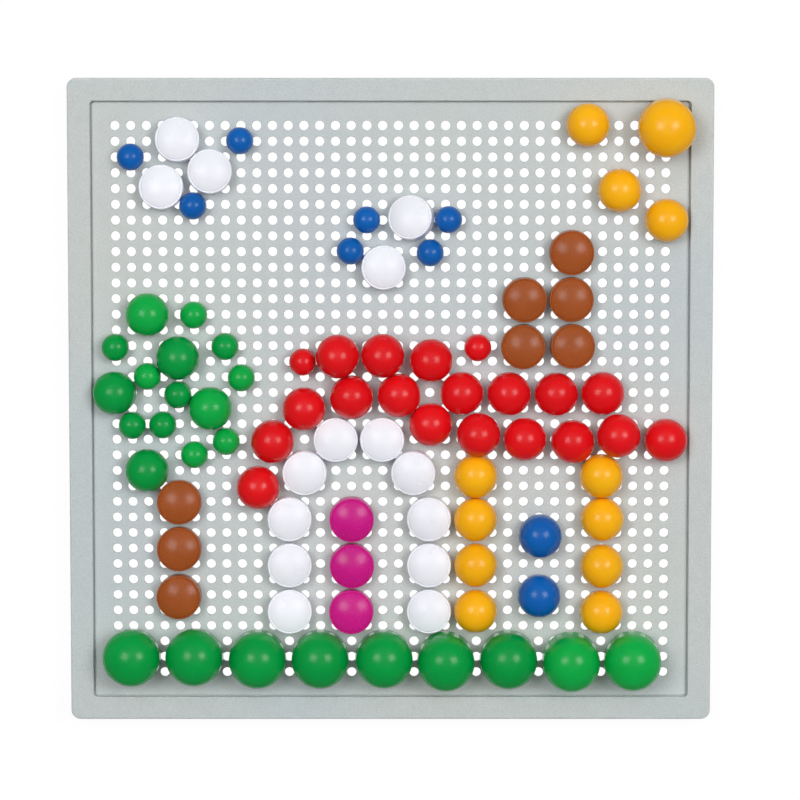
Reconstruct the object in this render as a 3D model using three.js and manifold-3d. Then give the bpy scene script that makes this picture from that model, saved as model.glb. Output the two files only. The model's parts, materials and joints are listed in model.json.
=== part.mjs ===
// A peg mosaic board: a square perforated tray and the mushroom pegs pushed into its holes,
// which make a picture of a house with a tree, two clouds and the sun. The tray lies flat,
// +Z is up, +Y is the top of the picture, and the origin is under the middle of the tray.

import * as THREE from 'three';
import { mergeVertices } from 'three/addons/utils/BufferGeometryUtils.js';
import Module from 'manifold-3d';

const wasm = await Module();
wasm.setup();

// ---- Driving dimensions, in millimetres ----

const BOARD_SIDE = 205;
const BOARD_CORNER = 3;
const RIM_WIDTH = 7.25;
const RIM_CORNER = 1.2;
const BOARD_HEIGHT = 12;
const RIM_STEP = 2;
const PLATE_THICKNESS = 1.6;
const WALL_THICKNESS = 2;

const HOLE_PITCH = 5;
const HOLES_PER_SIDE = 36;
const HOLE_DIAMETER = 3;
const HOLE_FACETS = 8;

const SHANK_DIAMETER = 2.4;
const SHANK_LENGTH = 7.2;
const TIP_DIAMETER = 1.8;
const SEAT_GAP = 0.3;

// A head starts at its flat underside, swells to its widest ring, runs straight up its wall
// and closes in a dome. crown is the dome's height and brow the radius where it starts.
const HEADS = {
  small: { radius: 4.25, base: 3.5, flare: 1.7, wall: 1.3, crown: 3.8, brow: 4.25, facets: 10 },
  medium: { radius: 6.8, base: 5.9, flare: 2.3, wall: 1.6, crown: 6.0, brow: 6.8, facets: 12 },
  button: { radius: 7.1, base: 6.6, flare: 0.5, wall: 4.0, crown: 1.7, brow: 6.6, facets: 12 },
  large: { radius: 9.1, base: 8.1, flare: 2.2, wall: 5.2, crown: 7.9, brow: 9.1, facets: 14 },
};
const CROWN_STEPS = 3;

const PLATE_TOP = BOARD_HEIGHT - RIM_STEP;
const PLATE_BOTTOM = PLATE_TOP - PLATE_THICKNESS;
const PLATE_MIDDLE = PLATE_TOP - PLATE_THICKNESS / 2;
const FIELD_SIDE = BOARD_SIDE - 2 * RIM_WIDTH;
const MIDDLE_HOLE = (HOLES_PER_SIDE - 1) / 2;

const GREY = 0xc2c9c9;
const GREEN = 0x009b41;
const RED = 0xe11920;
const YELLOW = 0xf8b01c;
const BLUE = 0x165aaf;
const BROWN = 0xa5552d;
const MAGENTA = 0xcd2087;
const WHITE = 0xeef0fa;

// ---- The picture ----

// A peg is [column, row, lean right, lean up, lift]. Columns and rows count the holes from
// the top left corner, the leans are in degrees from upright, and the lift, left out where
// it is nothing, is how far the peg still stands out of its hole.
const ROOF = [
  [20, 15, 4, 6], [12, 18, -1, 1], [22, 17, 2, 0.5], [25, 17, 2, -1], [28, 17, 2, -2.5], [31, 17, 0, 0],
  [10, 20, -1, -4], [20, 19, 3, 1.5], [26, 20, 2, 5], [29, 20, 6, -4], [35, 20, 1, 1], [9, 23, 3, -1],
];
const RIDGE = [[23, 14, 3, -6]];
const CHIMNEY = [
  [29, 8, 0, -3], [26, 11, 1, -3], [29, 11, -1, -1.5], [26, 14, -4, -1], [29, 14, 4, 0.5],
];
const ARCH = [
  [14, 20, 0, 2.5], [17, 20, -2, 3], [12, 22, 1, -4], [19, 22, -3, -4], [11, 25, 3, -1.5],
  [20, 25, -3, -1.5], [11, 28, 3, 0.5], [20, 28, -3, 0.5], [11, 31, 3, 2], [20, 31, -3, 2.5],
];
const DOOR = [[15, 25, 1, -4], [15, 28, 2, -2.5], [15, 31, -1, 0]];
const PILLARS = [
  [23, 25, -5, -3], [23, 28, -4, 1], [23, 31, -4, 3], [31, 25, 0, -2], [31, 28, -1, -3], [31, 31, -2, -1],
];
const WINDOWS = [[27, 26, 3, -7], [27, 30, -1, 1]];
const SUN = [[35, 0, -3, -6, 0.8]];
const SUN_RAYS = [[30, 0, -1, 1], [32, 4, 0, -6], [35, 6, 0, 0]];
const CROWN = [[2, 12, 3, 1], [2, 22, -1, 5]];
const CROWN_EDGE = [[5, 12, -1, -1], [7, 14, -2, -1]];
const TRUNK = [[4, 24, 1, 3], [4, 27, 0, 3], [4, 30, -2, -2]];
const GROUND = [
  [1, 34, -1, 5], [5, 34, -1, 6], [9, 34, 0, 0], [13, 34, 0, 0], [17, 34, 3, 1],
  [21, 34, 1, -5], [25, 34, 1, -1], [29, 34, 1, -6], [33, 34, -2, -4],
];

// These holes hold the pegs that this model leaves out: the two clouds, most of the tree's
// crown, and the roof and pillar pegs that stand so close that their heads ride on others.
const OTHER_HOLES = [
  [4, 1], [6, 3], [3, 4], [1, 2], [8, 1], [5, 5],
  [19, 6], [17, 9], [16, 6], [21, 6], [15, 8], [20, 8],
  [4, 15], [0, 17], [6, 18], [0, 14], [2, 16], [4, 17], [8, 16], [1, 19], [3, 19], [5, 21], [7, 20],
  [12, 15], [14, 15], [17, 15], [15, 17], [18, 17], [23, 20], [32, 20], [23, 22], [31, 22],
];

const holeX = (column) => (column - MIDDLE_HOLE) * HOLE_PITCH;
const holeY = (row) => (MIDDLE_HOLE - row) * HOLE_PITCH;

// ---- Joining and cutting ----

function toSolid(geometry) {
  const bare = geometry.clone();
  bare.deleteAttribute('normal');
  bare.deleteAttribute('uv');
  const merged = mergeVertices(bare, 1e-4);
  return new wasm.Manifold(new wasm.Mesh({
    numProp: 3,
    vertProperties: new Float32Array(merged.attributes.position.array),
    triVerts: new Uint32Array(merged.index.array),
  }));
}

function toGeometry(solid) {
  const mesh = solid.getMesh();
  const geometry = new THREE.BufferGeometry();
  geometry.setAttribute('position', new THREE.BufferAttribute(mesh.vertProperties, 3));
  geometry.setIndex(new THREE.BufferAttribute(mesh.triVerts, 1));
  geometry.computeVertexNormals();
  return geometry;
}

// ---- The board ----

// A square slab with rounded corners, standing on height z.
function slab(side, corner, thickness, z) {
  const half = side / 2;
  const outline = new THREE.Shape();
  const turn = (x, y, from) => {
    outline.absarc(x, y, corner, from, from + Math.PI / 2, false);
  };
  turn(half - corner, half - corner, 0);
  turn(-half + corner, half - corner, Math.PI / 2);
  turn(-half + corner, -half + corner, Math.PI);
  turn(half - corner, -half + corner, 1.5 * Math.PI);
  const options = { depth: thickness, bevelEnabled: false, curveSegments: 3 };
  return new THREE.ExtrudeGeometry(outline, options).translate(0, 0, z);
}

// The prism that cuts one hole. Its flats touch the round hole's wall, so that a round
// shank of the same diameter would just pass.
function holeCutter([column, row]) {
  const outer = HOLE_DIAMETER / 2 / Math.cos(Math.PI / HOLE_FACETS);
  const prism = new THREE.CylinderGeometry(outer, outer, 2 * PLATE_THICKNESS, HOLE_FACETS);
  prism.rotateX(Math.PI / 2);
  prism.translate(holeX(column), holeY(row), PLATE_MIDDLE);
  return toSolid(prism);
}

// One moulding: a flat rim, the sunk field with the peg holes, a skirt round the edge that
// stands on the table, and a hollow underside with walls of an even thickness.
function makeBoard(usedHoles) {
  const reach = 1;
  const field = slab(FIELD_SIDE, RIM_CORNER, RIM_STEP + reach, PLATE_TOP);
  const inner = BOARD_SIDE - 2 * WALL_THICKNESS;
  const hollow = slab(inner, BOARD_CORNER / 2, PLATE_BOTTOM + reach, -reach);
  const underRim = slab(inner, BOARD_CORNER / 2, RIM_STEP + reach, PLATE_BOTTOM - reach);
  const keepField = slab(FIELD_SIDE + 2 * WALL_THICKNESS, RIM_CORNER, BOARD_HEIGHT, 0);
  const rimGroove = toSolid(underRim).subtract(toSolid(keepField));
  let board = toSolid(slab(BOARD_SIDE, BOARD_CORNER, BOARD_HEIGHT, 0));
  for (const cut of [toSolid(field), toSolid(hollow), rimGroove]) {
    board = board.subtract(cut);
  }
  for (const hole of usedHoles) {
    board = board.subtract(holeCutter(hole));
  }
  return toGeometry(board);
}

// ---- The pegs ----

// The turned shape of one peg, about +Z, with its head's underside at height 0.
function makePeg(head) {
  const profile = [
    new THREE.Vector2(0, -SHANK_LENGTH),
    new THREE.Vector2(TIP_DIAMETER / 2, -SHANK_LENGTH),
    new THREE.Vector2(SHANK_DIAMETER / 2, 0),
    new THREE.Vector2(head.base, 0),
    new THREE.Vector2(head.radius, head.flare),
    new THREE.Vector2(head.radius, head.flare + head.wall),
  ];
  const brow = head.flare + head.wall + (head.radius - head.brow) / 2;
  if (head.brow < head.radius) {
    profile.push(new THREE.Vector2(head.brow, brow));
  }
  for (let step = 1; step < CROWN_STEPS; step += 1) {
    const angle = (step / CROWN_STEPS) * (Math.PI / 2);
    profile.push(new THREE.Vector2(head.brow * Math.cos(angle), brow + head.crown * Math.sin(angle)));
  }
  profile.push(new THREE.Vector2(0, brow + head.crown));
  const geometry = new THREE.LatheGeometry(profile, head.facets).rotateX(Math.PI / 2);
  return toGeometry(toSolid(geometry));
}

// The way a peg points out of the board.
function pegAxis(leanRight, leanUp) {
  const right = Math.tan(THREE.MathUtils.degToRad(leanRight));
  const up = Math.tan(THREE.MathUtils.degToRad(leanUp));
  return new THREE.Vector3(right, up, 1).normalize();
}

// A leaning peg rests on one edge of its head, so it stands out of its hole by as much as
// that edge would otherwise sink into the board.
function seatPeg(mesh, head, [column, row, leanRight, leanUp, lift = 0]) {
  const axis = pegAxis(leanRight, leanUp);
  const sink = head.base * Math.sqrt(1 - axis.z * axis.z);
  const stand = (PLATE_THICKNESS / 2 + SEAT_GAP + sink) / axis.z + lift;
  mesh.quaternion.setFromUnitVectors(new THREE.Vector3(0, 0, 1), axis);
  mesh.position.set(holeX(column), holeY(row), PLATE_MIDDLE).addScaledVector(axis, stand);
}

function plastic(name, color, roughness) {
  const material = new THREE.MeshStandardMaterial({ color, roughness, metalness: 0 });
  material.name = name;
  return material;
}

// A group of like pegs, named in the order of their list.
function addPegs(parent, name, pegs, headName, material) {
  pegs.forEach((peg, index) => {
    const mesh = new THREE.Mesh(makePeg(HEADS[headName]), material);
    mesh.name = `${name}_peg_${String(index + 1).padStart(2, '0')}`;
    seatPeg(mesh, HEADS[headName], peg);
    parent.add(mesh);
  });
}

const GROUPS = [
  ['roof', ROOF, 'medium', plastic('red_plastic', RED, 0.25)],
  ['ridge', RIDGE, 'small', plastic('red_plastic', RED, 0.25)],
  ['chimney', CHIMNEY, 'button', plastic('brown_plastic', BROWN, 0.35)],
  ['arch', ARCH, 'button', plastic('white_plastic', WHITE, 0.3)],
  ['door', DOOR, 'button', plastic('magenta_plastic', MAGENTA, 0.3)],
  ['pillar', PILLARS, 'medium', plastic('yellow_plastic', YELLOW, 0.25)],
  ['window', WINDOWS, 'medium', plastic('blue_plastic', BLUE, 0.25)],
  ['sun', SUN, 'large', plastic('yellow_plastic', YELLOW, 0.25)],
  ['sun_ray', SUN_RAYS, 'medium', plastic('yellow_plastic', YELLOW, 0.25)],
  ['crown', CROWN, 'medium', plastic('green_plastic', GREEN, 0.25)],
  ['crown_edge', CROWN_EDGE, 'small', plastic('green_plastic', GREEN, 0.25)],
  ['trunk', TRUNK, 'button', plastic('brown_plastic', BROWN, 0.35)],
  ['ground', GROUND, 'large', plastic('green_plastic', GREEN, 0.25)],
];

const group = new THREE.Group();

const modelledHoles = GROUPS.flatMap(([, pegs]) => pegs);
const boardGeometry = makeBoard([...modelledHoles, ...OTHER_HOLES]);
const board = new THREE.Mesh(boardGeometry, plastic('board_plastic', GREY, 0.6));
board.name = 'board';
group.add(board);

for (const [name, pegs, headName, material] of GROUPS) {
  addPegs(group, name, pegs, headName, material);
}

export default group;
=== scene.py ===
import json
import math

import bpy
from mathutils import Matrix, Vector


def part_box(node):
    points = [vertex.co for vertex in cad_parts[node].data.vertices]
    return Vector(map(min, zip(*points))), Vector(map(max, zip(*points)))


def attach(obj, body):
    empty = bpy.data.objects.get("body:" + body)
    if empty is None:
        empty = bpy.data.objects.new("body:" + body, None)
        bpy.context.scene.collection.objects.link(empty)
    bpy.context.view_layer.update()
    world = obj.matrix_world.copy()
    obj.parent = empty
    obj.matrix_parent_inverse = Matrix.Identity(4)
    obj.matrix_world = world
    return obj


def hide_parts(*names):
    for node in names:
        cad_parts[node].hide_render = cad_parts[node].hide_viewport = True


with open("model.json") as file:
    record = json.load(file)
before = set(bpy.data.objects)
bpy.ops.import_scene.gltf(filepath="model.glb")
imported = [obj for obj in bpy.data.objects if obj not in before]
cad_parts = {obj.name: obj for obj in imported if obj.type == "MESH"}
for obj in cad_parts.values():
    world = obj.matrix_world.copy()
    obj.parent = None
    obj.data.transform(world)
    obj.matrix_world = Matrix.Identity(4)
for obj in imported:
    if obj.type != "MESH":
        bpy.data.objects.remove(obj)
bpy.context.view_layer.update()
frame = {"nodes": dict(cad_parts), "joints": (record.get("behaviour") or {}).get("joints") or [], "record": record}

# ---- Board ----
# The board is one injection moulding of light grey polystyrene: a flat rim, a field sunk
# below it with 36 rows of 36 round peg holes, and a skirt that holds the plate off the
# table. Its face has the fine matt grain of an etched mould, with a narrow gutter round it.

MM = 0.001
HOLE_PITCH = 5 * MM
HOLES_PER_SIDE = 36
HOLE_RADIUS = 1.5 * MM
HOLE_CHAMFER = 0.12 * MM
HOLE_STEPS = 20
RIM_WIDTH = 7.25 * MM
RIM_STEP = 2 * MM
PLATE_THICKNESS = 1.6 * MM
WALL_THICKNESS = 2 * MM
OUTER_CORNER = 3 * MM
FIELD_CORNER = 1.2 * MM
CORNER_STEPS = 8
FILLET_STEPS = 4

board_low, board_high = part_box("board")
BOARD_HALF = (board_high.x - board_low.x) / 2
RIM_TOP = board_high.z
FIELD_HALF = BOARD_HALF - RIM_WIDTH
PLATE_TOP = RIM_TOP - RIM_STEP
PLATE_BOTTOM = PLATE_TOP - PLATE_THICKNESS
PLATE_MIDDLE = (PLATE_TOP + PLATE_BOTTOM) / 2
GRID_HALF = HOLES_PER_SIDE * HOLE_PITCH / 2


def hole_place(column, row):
    """The middle of a hole, counted from the picture's top left corner."""
    middle = (HOLES_PER_SIDE - 1) / 2
    return (column - middle) * HOLE_PITCH, (middle - row) * HOLE_PITCH


def quarter(start, end, centre, radius):
    """Points of a fillet in a section of (distance out, height), start and end in degrees."""
    points = []
    for step in range(FILLET_STEPS + 1):
        angle = math.radians(start + (end - start) * step / FILLET_STEPS)
        points.append((centre[0] + radius * math.cos(angle), centre[1] + radius * math.sin(angle)))
    return points


def square_ring(half, corner, height):
    """One closed ring of points round the board, with rounded corners."""
    points = []
    for turn in range(4):
        middle_angle = math.pi / 4 + turn * math.pi / 2
        x = math.copysign(half - corner, math.cos(middle_angle))
        y = math.copysign(half - corner, math.sin(middle_angle))
        for step in range(CORNER_STEPS + 1):
            angle = middle_angle + math.pi / 2 * (step / CORNER_STEPS - 0.5)
            points.append((x + corner * math.cos(angle), y + corner * math.sin(angle), height))
    return points


def rim_section():
    """The board's section from the field's edge over the rim, down the skirt and back under
    the plate, as (distance out, corner radius, height)."""
    lip, edge, toe = 0.22 * MM, 0.6 * MM, 0.3 * MM
    near = 0.08 * MM
    gutter, bank = 0.2 * MM, 0.1 * MM
    inner = BOARD_HALF - WALL_THICKNESS
    under_wall = FIELD_HALF + WALL_THICKNESS
    trough = FIELD_HALF - gutter
    field = [(trough - gutter - bank - near, PLATE_TOP)]
    field += quarter(90, 0, (trough - gutter - bank, PLATE_TOP - bank), bank)
    field += quarter(180, 360, (trough, PLATE_TOP - 2 * gutter), gutter)
    field += quarter(180, 90, (FIELD_HALF + lip, RIM_TOP - lip), lip)
    field.append((FIELD_HALF + lip + near, RIM_TOP))
    outside = [(BOARD_HALF - edge - near, RIM_TOP)]
    outside += quarter(90, 0, (BOARD_HALF - edge, RIM_TOP - edge), edge)
    outside += quarter(0, -90, (BOARD_HALF - toe, toe), toe)
    inside = quarter(-90, -180, (inner + toe, toe), toe)
    inside += quarter(0, 90, (inner - toe, RIM_TOP - WALL_THICKNESS - toe), toe)
    inside += quarter(90, 180, (under_wall + toe, RIM_TOP - WALL_THICKNESS - toe), toe)
    inside += quarter(0, -90, (under_wall - toe, PLATE_BOTTOM + toe), toe)
    inside.append((under_wall - toe - near, PLATE_BOTTOM))
    rings = [(out, FIELD_CORNER + out - FIELD_HALF, height) for out, height in field]
    rings += [(out, OUTER_CORNER + out - BOARD_HALF, height) for out, height in outside]
    rings += [(out, max(OUTER_CORNER + out - BOARD_HALF, lip), height) for out, height in inside]
    return rings


def board_mesh():
    points = []
    faces = []
    side = HOLES_PER_SIDE + 1
    for height in (PLATE_TOP, PLATE_BOTTOM):
        for row in range(side):
            for column in range(side):
                points.append((column * HOLE_PITCH - GRID_HALF, GRID_HALF - row * HOLE_PITCH, height))

    def grid(layer, row, column):
        return (layer * side + row) * side + column

    # Each hole has a chamfered mouth and a straight wall. Where two points of its ring face a
    # corner of its square of plate, the faces round it meet the corner.
    eighth = math.pi / 4
    ring_angles = [eighth + 2 * math.pi * step / HOLE_STEPS for step in range(HOLE_STEPS)]
    levels = (
        (HOLE_RADIUS + HOLE_CHAMFER, PLATE_TOP),
        (HOLE_RADIUS, PLATE_TOP - HOLE_CHAMFER),
        (HOLE_RADIUS, PLATE_BOTTOM),
    )
    quadrant = HOLE_STEPS // 4
    for row in range(HOLES_PER_SIDE):
        for column in range(HOLES_PER_SIDE):
            x, y = hole_place(column, row)
            first = len(points)
            for radius, height in levels:
                for angle in ring_angles:
                    rim_x = x + radius * math.cos(angle)
                    rim_y = y + radius * math.sin(angle)
                    points.append((rim_x, rim_y, height))
            for level in range(2):
                upper = first + level * HOLE_STEPS
                lower = upper + HOLE_STEPS
                for step in range(HOLE_STEPS):
                    after = (step + 1) % HOLE_STEPS
                    faces.append((upper + step, lower + step, lower + after, upper + after))
            for layer, ring in ((0, first), (1, first + 2 * HOLE_STEPS)):
                corners = [
                    grid(layer, row, column + 1),
                    grid(layer, row, column),
                    grid(layer, row + 1, column),
                    grid(layer, row + 1, column + 1),
                ]
                for turn in range(4):
                    arc = [ring + (turn * quadrant + step) % HOLE_STEPS for step in range(quadrant + 1)]
                    face = [corners[turn], corners[(turn + 1) % 4]] + arc[::-1]
                    faces.append(tuple(face if layer == 0 else face[::-1]))

    # The rings of the rim and the skirt, from the field's edge round to the underside.
    ring_size = 4 * (CORNER_STEPS + 1)
    starts = []
    for out, corner, height in rim_section():
        starts.append(len(points))
        points += square_ring(out, corner, height)
    for inner, outer in zip(starts, starts[1:]):
        for step in range(ring_size):
            after = (step + 1) % ring_size
            faces.append((inner + step, outer + step, outer + after, inner + after))

    # The plain margins between the holes and the rim, on both sides of the plate.
    last = HOLES_PER_SIDE
    edges = (
        [(0, last - step) for step in range(side)],
        [(step, 0) for step in range(side)],
        [(last, step) for step in range(side)],
        [(last - step, last) for step in range(side)],
    )
    arc_middle = CORNER_STEPS // 2
    for layer, start in ((0, starts[0]), (1, starts[-1])):
        for turn, edge in enumerate(edges):
            near = [grid(layer, row, column) for row, column in edge]
            begin = turn * (CORNER_STEPS + 1) + arc_middle
            far = [start + (begin + step) % ring_size for step in range(CORNER_STEPS + 2)]
            face = near[::-1] + far
            faces.append(tuple(face if layer == 0 else face[::-1]))

    mesh = bpy.data.meshes.new("board_moulding")
    mesh.from_pydata(points, [], faces)
    mesh.validate()
    mesh.shade_smooth()
    mesh.set_sharp_from_angle(angle=math.radians(32))
    return mesh


class Socket:
    """An output in a material's nodes. Arithmetic on it adds Math nodes."""

    def __init__(self, tree, output=None):
        self.tree = tree
        self.output = output

    def node(self, kind, settings, inputs, output=0):
        """Adds a node of any kind, with its own settings and what goes into its inputs."""
        made = self.tree.nodes.new(kind)
        for name, value in settings.items():
            setattr(made, name, value)
        for name, value in inputs.items():
            if isinstance(value, Socket):
                self.tree.links.new(value.output, made.inputs[name])
            else:
                made.inputs[name].default_value = value
        return Socket(self.tree, made.outputs[output] if made.outputs else None)

    def maths(self, operation, first, second):
        return self.node("ShaderNodeMath", {"operation": operation}, {0: first, 1: second})

    def __add__(self, other):
        return self.maths("ADD", self, other)

    __radd__ = __add__

    def __sub__(self, other):
        return self.maths("SUBTRACT", self, other)

    def __rsub__(self, other):
        return self.maths("SUBTRACT", other, self)

    def __mul__(self, other):
        return self.maths("MULTIPLY", self, other)

    __rmul__ = __mul__

    def mix(self, share, first, second, blend="MIX"):
        """Two colours mixed or blended."""
        settings = {"data_type": "RGBA", "blend_type": blend}
        return self.node("ShaderNodeMix", settings, {0: share, 6: first, 7: second}, output=2)

    def noise(self, place, scale, detail=2.0, roughness=0.5, output=0):
        """Noise from 0 to 1, scale being its patches in a metre."""
        inputs = {"Vector": place, "Scale": scale, "Detail": detail, "Roughness": roughness}
        return self.node("ShaderNodeTexNoise", {}, inputs, output)

    def between(self, value, low, high):
        """A value stretched so that low becomes 0 and high 1, and held there."""
        return self.node("ShaderNodeMapRange", {"clamp": True}, {0: value, 1: low, 2: high})


def new_material(name):
    """An empty material and the socket that starts its nodes."""
    material = bpy.data.materials.new(name)
    material.use_nodes = True
    material.node_tree.nodes.clear()
    return material, Socket(material.node_tree)


def finish_material(start, inputs):
    """Joins a plastic surface with these sockets to the material's output."""
    surface = start.node("ShaderNodeBsdfPrincipled", {}, inputs)
    start.node("ShaderNodeOutputMaterial", {}, {"Surface": surface})


def board_material():
    material, start = new_material("grained_grey_polystyrene")
    place = start.node("ShaderNodeTexCoord", {}, {}, output="Object")
    drift = start.noise(place, 9, detail=1)
    cloud = start.noise(place, 260, detail=3, roughness=0.6)
    grain = start.noise(place, 1900, detail=2, roughness=0.7)
    speck = start.node("ShaderNodeTexVoronoi", {"feature": "F1"}, {"Vector": place, "Scale": 1500})

    cool = (0.535, 0.59, 0.605, 1)
    warm = (0.57, 0.60, 0.585, 1)
    tint = start.mix(start.between(drift, 0.35, 0.65), cool, warm)
    shade = 0.97 + 0.10 * (cloud - 0.5) + 0.45 * (grain - 0.5)
    tint = start.mix(1.0, tint, shade, "MULTIPLY")

    # The rim's outer edge is painted a little lighter in patches, a painted highlight along the edge, and is
    # smoother there.
    spread = start.node("ShaderNodeVectorMath", {"operation": "ABSOLUTE"}, {0: place})
    across = start.node("ShaderNodeSeparateXYZ", {}, {0: spread}, output="X")
    along = start.node("ShaderNodeSeparateXYZ", {}, {0: spread}, output="Y")
    out = start.maths("MAXIMUM", across, along)
    patches = start.between(start.noise(place, 120, detail=4), 0.4, 0.62)
    edge_highlight_and_polish = start.between(out, BOARD_HALF - 1.0 * MM, BOARD_HALF - 0.3 * MM) * patches
    # Painted highlight: the patches along the outer edge are mixed towards a lighter grey.
    tint = start.mix(edge_highlight_and_polish * 0.35, tint, (0.66, 0.69, 0.69, 1))

    height = grain * 0.6 + cloud * 0.25 + speck * 0.3
    bump = start.node("ShaderNodeBump", {}, {"Strength": 0.35, "Distance": 0.03 * MM, "Height": height})
    finish_material(start, {
        "Base Color": tint,
        "Roughness": 0.62 + 0.16 * (grain - 0.5) - 0.14 * edge_highlight_and_polish,
        "IOR": 1.5,
        "Specular IOR Level": 0.2,
        "Normal": bump,
    })
    return material


board = bpy.data.objects.new("board_moulding", board_mesh())
bpy.context.scene.collection.objects.link(board)
board.data.materials.append(board_material())
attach(board, "board")
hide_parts("board")

# ---- Peg shapes ----
# A peg is one solid moulding with a tapered round shank that is a loose fit in a hole. Its
# head is a ball with a flat underside, in three sizes, or a button with an upright wall,
# a rounded shoulder and, inside a fine groove, a shallow cap.

PEG_STEPS = 56
SHANK_LENGTH = 7.2 * MM
SHANK_RADIUS = 1.2 * MM
TIP_RADIUS = 0.9 * MM
BALLS = {
    "small": {
        "radius": 4.3 * MM, "base": 3.5 * MM, "flare": 1.7 * MM, "wall": 1.3 * MM, "crown": 3.8 * MM,
    },
    "medium": {
        "radius": 6.85 * MM, "base": 5.9 * MM, "flare": 2.3 * MM, "wall": 1.6 * MM, "crown": 6.0 * MM,
    },
    "large": {
        "radius": 9.1 * MM, "base": 8.1 * MM, "flare": 2.2 * MM, "wall": 5.2 * MM, "crown": 7.9 * MM,
    },
}
BUTTON = {
    "radius": 7.1 * MM, "base": 6.6 * MM, "shoulder": 4.75 * MM, "brow": 6.45 * MM, "crown": 1.7 * MM,
}


def arc(centre, across, up, start, end, steps):
    """Points of an ellipse's arc in a peg's section of (radius, height), from start to end
    in degrees."""
    points = []
    for step in range(steps + 1):
        angle = math.radians(start + (end - start) * step / steps)
        points.append((centre[0] + across * math.cos(angle), centre[1] + up * math.sin(angle)))
    return points


def shank_section():
    """From the tip's middle up to the head's underside, where a small fillet meets it."""
    tip, root = 0.35 * MM, 0.4 * MM
    points = [(0, -SHANK_LENGTH)]
    points += arc((TIP_RADIUS - tip, -SHANK_LENGTH + tip), tip, tip, -90, 0, 4)
    points += arc((SHANK_RADIUS + root, -root), root, root, 180, 90, 4)
    return points


def ball_section(head):
    dome = head["flare"] + head["wall"]
    flare = arc((head["base"], head["flare"]), head["radius"] - head["base"], head["flare"], -90, 0, 8)
    crown = arc((0, dome), head["radius"], head["crown"], 0, 90, 18)
    return shank_section() + flare + crown[:-1] + [(0, dome + head["crown"])]


def button_section():
    """The wall ends in a rounded shoulder, with a fine groove between it and the cap."""
    foot, round_off, draft = 0.45 * MM, 0.36 * MM, 0.06 * MM
    groove, flat = 0.15 * MM, 0.04 * MM
    cap_radius = (BUTTON["brow"] ** 2 + BUTTON["crown"] ** 2) / (2 * BUTTON["crown"])
    cap_middle = BUTTON["shoulder"] + BUTTON["crown"] - cap_radius
    lean = math.degrees(math.asin(BUTTON["brow"] / cap_radius))
    edge = BUTTON["radius"] - draft - round_off
    points = shank_section()
    points += arc((BUTTON["radius"] - foot, foot), foot, foot, -90, 0, 4)
    points += arc((edge, BUTTON["shoulder"] - round_off), round_off, round_off, 0, 90, 6)
    points.append((edge - flat, BUTTON["shoulder"]))
    points.append((BUTTON["brow"] + groove / 2, BUTTON["shoulder"] - groove))
    points += arc((0, cap_middle), cap_radius, cap_radius, 90 - lean, 90, 14)[:-1]
    return points + [(0, BUTTON["shoulder"] + BUTTON["crown"])]


def turned_mesh(name, section):
    """A closed mesh turned about +Z from a section that starts and ends on the axis."""
    points = [(0, 0, section[0][1])]
    for radius, height in section[1:-1]:
        for step in range(PEG_STEPS):
            angle = 2 * math.pi * step / PEG_STEPS
            points.append((radius * math.cos(angle), radius * math.sin(angle), height))
    top = len(points)
    points.append((0, 0, section[-1][1]))
    faces = []
    rings = len(section) - 2
    for step in range(PEG_STEPS):
        after = (step + 1) % PEG_STEPS
        faces.append((0, 1 + after, 1 + step))
        last = 1 + (rings - 1) * PEG_STEPS
        faces.append((last + step, last + after, top))
        for ring in range(rings - 1):
            low = 1 + ring * PEG_STEPS
            high = low + PEG_STEPS
            faces.append((low + step, low + after, high + after, high + step))
    mesh = bpy.data.meshes.new(name)
    mesh.from_pydata(points, [], faces)
    mesh.validate()
    mesh.shade_smooth()
    mesh.set_sharp_from_angle(angle=math.radians(50))
    return mesh


sections = {name: ball_section(head) for name, head in BALLS.items()}
sections["button"] = button_section()


# ---- Peg plastics ----
# The pegs are polyethylene dyed right through. Balls come from a polished mould and shine;
# buttons are more satin, with the rings of the lathe that cut their mould. Each has faint
# flow marks, fine scuffs and a trace of orange peel.

BALL_ROUGHNESS = 0.22
BUTTON_ROUGHNESS = 0.25
LATHE_RINGS = 10


def peg_material(name, colour, deep, roughness, turned):
    """A dyed plastic, deep being its tint in the flow marks. A turned one keeps the rings of
    a lathe, from its mould, on the flat of its cap."""
    material, start = new_material(name)
    own = start.node("ShaderNodeObjectInfo", {}, {}, output="Random")
    flat = start.node("ShaderNodeTexCoord", {}, {}, output="Object")
    place = start.node("ShaderNodeVectorMath", {"operation": "ADD"}, {0: flat, 1: own})
    flow = start.noise(place, 150, detail=2)
    peel = start.noise(place, 700, detail=1)
    scuff = start.noise(place, 900, detail=3, roughness=0.6)
    scuffed = start.between(scuff, 0.56, 0.72)

    tint = start.mix(start.between(flow, 0.3, 0.7), deep, colour)
    tint = start.mix(1.0, tint, 0.96 + 0.06 * own, "MULTIPLY")
    height = peel + 0.35 * scuff
    if turned:
        level = start.node("ShaderNodeVectorMath", {"operation": "MULTIPLY"}, {0: flat, 1: (1, 1, 0)})
        out = start.node("ShaderNodeVectorMath", {"operation": "LENGTH"}, {0: level}, output="Value")
        across = start.node("ShaderNodeCombineXYZ", {}, {0: out, 1: own})
        height = 0.4 * height + turned * start.noise(across, 2600, detail=1)
    bump = start.node("ShaderNodeBump", {}, {"Strength": 0.12, "Distance": 0.02 * MM, "Height": height})
    finish_material(start, {
        "Base Color": tint,
        "Roughness": roughness + 0.05 * (flow - 0.5) + 0.06 * scuffed,
        "IOR": 1.5,
        "Specular IOR Level": 0.5,
        "Normal": bump,
    })
    return material


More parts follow.
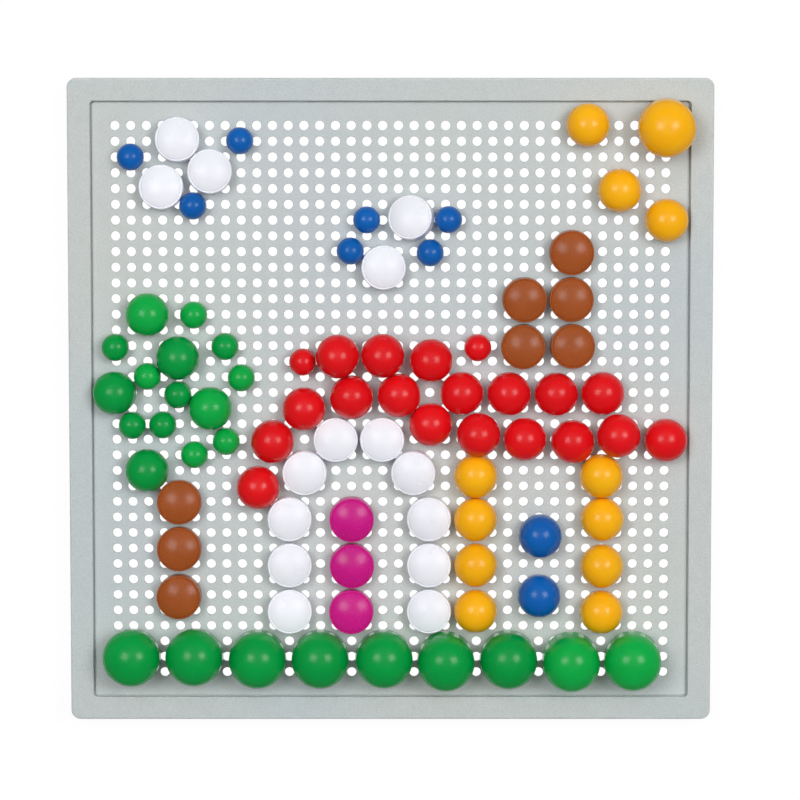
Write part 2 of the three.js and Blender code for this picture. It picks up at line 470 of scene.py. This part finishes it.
PLASTICS = {
    "red_plastic": peg_material(
        "red_polyethylene", (0.81, 0.006, 0.010, 1), (0.76, 0.005, 0.009, 1), BALL_ROUGHNESS, 0
    ),
    "green_plastic": peg_material(
        "green_polyethylene", (0.0, 0.345, 0.058, 1), (0.0, 0.315, 0.052, 1), BALL_ROUGHNESS, 0
    ),
    "yellow_plastic": peg_material(
        "yellow_polyethylene", (1.0, 0.49, 0.006, 1), (0.99, 0.45, 0.004, 1), BALL_ROUGHNESS, 0
    ),
    "blue_plastic": peg_material(
        "blue_polyethylene", (0.003, 0.124, 0.48, 1), (0.003, 0.112, 0.44, 1), BALL_ROUGHNESS, 0
    ),
    "brown_plastic": peg_material(
        "brown_polyethylene", (0.38, 0.088, 0.018, 1), (0.34, 0.078, 0.014, 1),
        BUTTON_ROUGHNESS, LATHE_RINGS,
    ),
    "magenta_plastic": peg_material(
        "magenta_polyethylene", (0.64, 0.008, 0.255, 1), (0.59, 0.007, 0.23, 1),
        BUTTON_ROUGHNESS, LATHE_RINGS,
    ),
    "white_plastic": peg_material(
        "white_polyethylene", (0.93, 0.94, 1.0, 1), (0.91, 0.92, 0.99, 1), 0.28, 6
    ),
}

# Some of the green pegs, listed below, are given a paler green.
PALE_GREEN = peg_material(
    "pale_green_polyethylene", (0.003, 0.43, 0.066, 1), (0.002, 0.39, 0.06, 1), BALL_ROUGHNESS, 0
)
PALE_PEGS = {
    "crown_peg_01", "crown_edge_peg_01", "ground_peg_08", "ground_peg_09", "tree_crown_peg_03",
    "tree_edge_peg_02", "tree_edge_peg_04", "tree_edge_peg_07", "tree_edge_peg_08",
}


def add_peg(name, shape, plastic, underside, axis, body):
    """One peg with its head's underside and its axis where they are given."""
    if shape not in shapes:
        shapes[shape] = turned_mesh(f"{shape}_peg", sections[shape])
    mesh = shapes[shape].copy()
    mesh.name = f"{name}_moulding"
    mesh.materials.append(PALE_GREEN if name in PALE_PEGS else PLASTICS[plastic])
    peg = bpy.data.objects.new(mesh.name, mesh)
    bpy.context.scene.collection.objects.link(peg)
    peg.rotation_mode = "QUATERNION"
    peg.rotation_quaternion = Vector((0, 0, 1)).rotation_difference(axis)
    peg.location = underside
    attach(peg, body)
    return peg


shapes = {}

# ---- Pegs that pull out ----
# These are the roof, the chimney, the arch, the door, the pillars, the windows, the sun, the
# trunk, the ground and part of the tree's crown. Each stands in its hole at the lean of its
# own joint, and moves along it.

GROUP_SHAPES = {
    "roof": "medium", "ridge": "small", "chimney": "button", "arch": "button", "door": "button",
    "pillar": "medium", "window": "medium", "sun": "large", "sun_ray": "medium",
    "crown": "medium", "crown_edge": "small", "trunk": "button", "ground": "large",
}
node_slots = {part["node"]: part["material_slot"] for part in frame["record"]["subparts"]}

for joint in frame["joints"]:
    node = joint["child"]
    shape = GROUP_SHAPES[node.rsplit("_peg_", 1)[0]]
    axis = Vector(joint["axis"]).normalized()
    crown = max((vertex.co for vertex in frame["nodes"][node].data.vertices), key=axis.dot)
    head_height = sections[shape][-1][1]
    peg = add_peg(node, shape, node_slots[node], crown - axis * head_height, axis, node)
    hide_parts(node)

# ---- Pegs that stay ----
# The clouds, most of the tree's crown and the crowded pegs of the roof and pillars stand too
# close to a neighbour to slide past it, so they stay put. Each is given as its column and row of
# holes, its lean to the right and up in degrees, and how far it stands out of its hole.

CROWDED_PEGS = {
    ("cloud_left", "button", "white_plastic"): ((4, 1, 1, 6), (6, 3, 3, 5), (3, 4, -1, 5.5)),
    ("cloud_left_edge", "small", "blue_plastic"): ((1, 2, 2, 0), (8, 1, -3, 2), (5, 5, -2, -6)),
    ("cloud_right", "button", "white_plastic"): ((19, 6, -11, 9), (17, 9, 3, 1)),
    ("cloud_right_edge", "small", "blue_plastic"): (
        (16, 6, -1, 2), (21, 6, 11, 3), (15, 8, -4, 4), (20, 8, 1, -4),
    ),
    ("tree_crown", "medium", "green_plastic"): ((4, 15, -1, 14), (0, 17, -4, 2), (6, 18, 2, 3)),
    ("tree_edge", "small", "green_plastic"): (
        (0, 14, 0, -5), (2, 16, 2, 6), (4, 17, -3, -6), (8, 16, 0, -1), (1, 19, 4, -3),
        (3, 19, -1, -1), (5, 21, 0, 6), (7, 20, 2, -5),
    ),
    ("roof_top", "medium", "red_plastic"): (
        (14, 15, 5, 14, 2.5), (17, 15, 0, 15.4, 2.5), (15, 17, 1, -12), (18, 17, 2, -5, 1),
        (23, 20, 2.5, 13.8, 3.4), (32, 20, -1, 12, 3.4),
    ),
    ("roof_tip", "small", "red_plastic"): ((12, 15, -6, 0),),
    ("pillar_top", "medium", "yellow_plastic"): ((23, 22, -4, -13), (31, 22, -4, -13)),
}
SEAT_GAP = 0.3 * MM

for (group, shape, plastic), pegs in CROWDED_PEGS.items():
    for count, (column, row, right, up, *lift) in enumerate(pegs, start=1):
        axis = Vector((math.tan(math.radians(right)), math.tan(math.radians(up)), 1)).normalized()
        base = (BUTTON if shape == "button" else BALLS[shape])["base"]
        sink = base * math.sqrt(1 - axis.z ** 2)
        stand = (PLATE_THICKNESS / 2 + SEAT_GAP + sink) / axis.z + sum(lift) * MM
        underside = Vector((*hole_place(column, row), PLATE_MIDDLE)) + axis * stand
        add_peg(f"{group}_peg_{count:02d}", shape, plastic, underside, axis, "board")

# ---- Table, light and camera ----
# The board lies on a white table, with a lit white panel under it that shows through the
# holes. A wide soft lamp hangs overhead. At each side stands a lamp, and just before it a
# weaker one that gives the glossy heads their highlight.

FLOOR_HALF = 3.0


def flat_square(name, half, height, material):
    signs = ((-1, -1), (1, -1), (1, 1), (-1, 1))
    corners = [(across * half, along * half, height) for across, along in signs]
    mesh = bpy.data.meshes.new(name)
    mesh.from_pydata(corners, [], [(0, 1, 2, 3)])
    mesh.materials.append(material)
    made = bpy.data.objects.new(name, mesh)
    bpy.context.scene.collection.objects.link(made)
    return made


def glowing_white(name, glow, white):
    material, start = new_material(name)
    finish_material(start, {
        "Base Color": (white, white, white, 1),
        "Roughness": 1.0,
        "Specular IOR Level": 0.0,
        "Emission Color": (1, 1, 1, 1),
        "Emission Strength": glow,
    })
    return material


# Glossy heads don't mirror the table, which keeps their rims dark.
table = flat_square("table", FLOOR_HALF, -0.1 * MM, glowing_white("table_white", 0.93, 0.08))
table.visible_glossy = False
flat_square("panel", BOARD_HALF - 3 * MM, 0.1 * MM, glowing_white("panel_white", 1.05, 0.0))


def soft_lamp(name, place, size, radiance, mirrored):
    """A soft lamp that faces the board, as bright as radiance times a white page. Its own
    image shows in glossy surfaces only where it is mirrored."""
    lamp = bpy.data.lights.new(name, "AREA")
    lamp.shape = "RECTANGLE"
    lamp.size, lamp.size_y = size
    lamp.energy = radiance * math.pi * size[0] * size[1]
    made = bpy.data.objects.new(name, lamp)
    bpy.context.scene.collection.objects.link(made)
    made.location = place
    made.rotation_mode = "QUATERNION"
    made.rotation_quaternion = Vector(place).to_track_quat("Z", "Y")
    made.visible_glossy = mirrored
    return made


soft_lamp("left_lamp", (-0.66, 0.38, 1.5), (0.62, 0.62), 4.3, False)
soft_lamp("right_lamp", (0.82, 0.40, 1.5), (0.62, 0.62), 4.9, False)
soft_lamp("left_glow", (-0.64, 0.25, 1.4), (0.60, 0.60), 2.5, True)
soft_lamp("right_glow", (0.79, 0.27, 1.4), (0.60, 0.60), 3.3, True)
soft_lamp("top_lamp", (0.1, 0.42, 1.6), (2.2, 1.8), 1.15, False)

world = bpy.data.worlds.new("studio")
bpy.context.scene.world = world
world.use_nodes = True
world.node_tree.nodes.clear()
air = Socket(world.node_tree)
seen = air.node("ShaderNodeLightPath", {}, {}, output="Is Camera Ray")
room = air.node("ShaderNodeBackground", {}, {"Color": (1, 1, 1, 1), "Strength": 0.1 + 0.9 * seen})
air.node("ShaderNodeOutputWorld", {}, {"Surface": room})

CAMERA_DISTANCE = 1.05
CAMERA_TILT = math.radians(4.5)
FRAME_WIDTH = 254.9 * MM
SENSOR_WIDTH = 36.0

camera = bpy.data.cameras.new("camera")
camera.sensor_width = SENSOR_WIDTH
camera.lens = SENSOR_WIDTH * CAMERA_DISTANCE / FRAME_WIDTH
camera.clip_start = 0.05
viewer = bpy.data.objects.new("camera", camera)
bpy.context.scene.collection.objects.link(viewer)
target = Vector((3.0 * MM, 0.3 * MM, RIM_TOP))
viewer.location = target + CAMERA_DISTANCE * Vector((0, math.sin(CAMERA_TILT), math.cos(CAMERA_TILT)))
viewer.rotation_euler = (-CAMERA_TILT, 0, 0)
bpy.context.scene.camera = viewer
bpy.context.scene.view_settings.view_transform = "Standard"
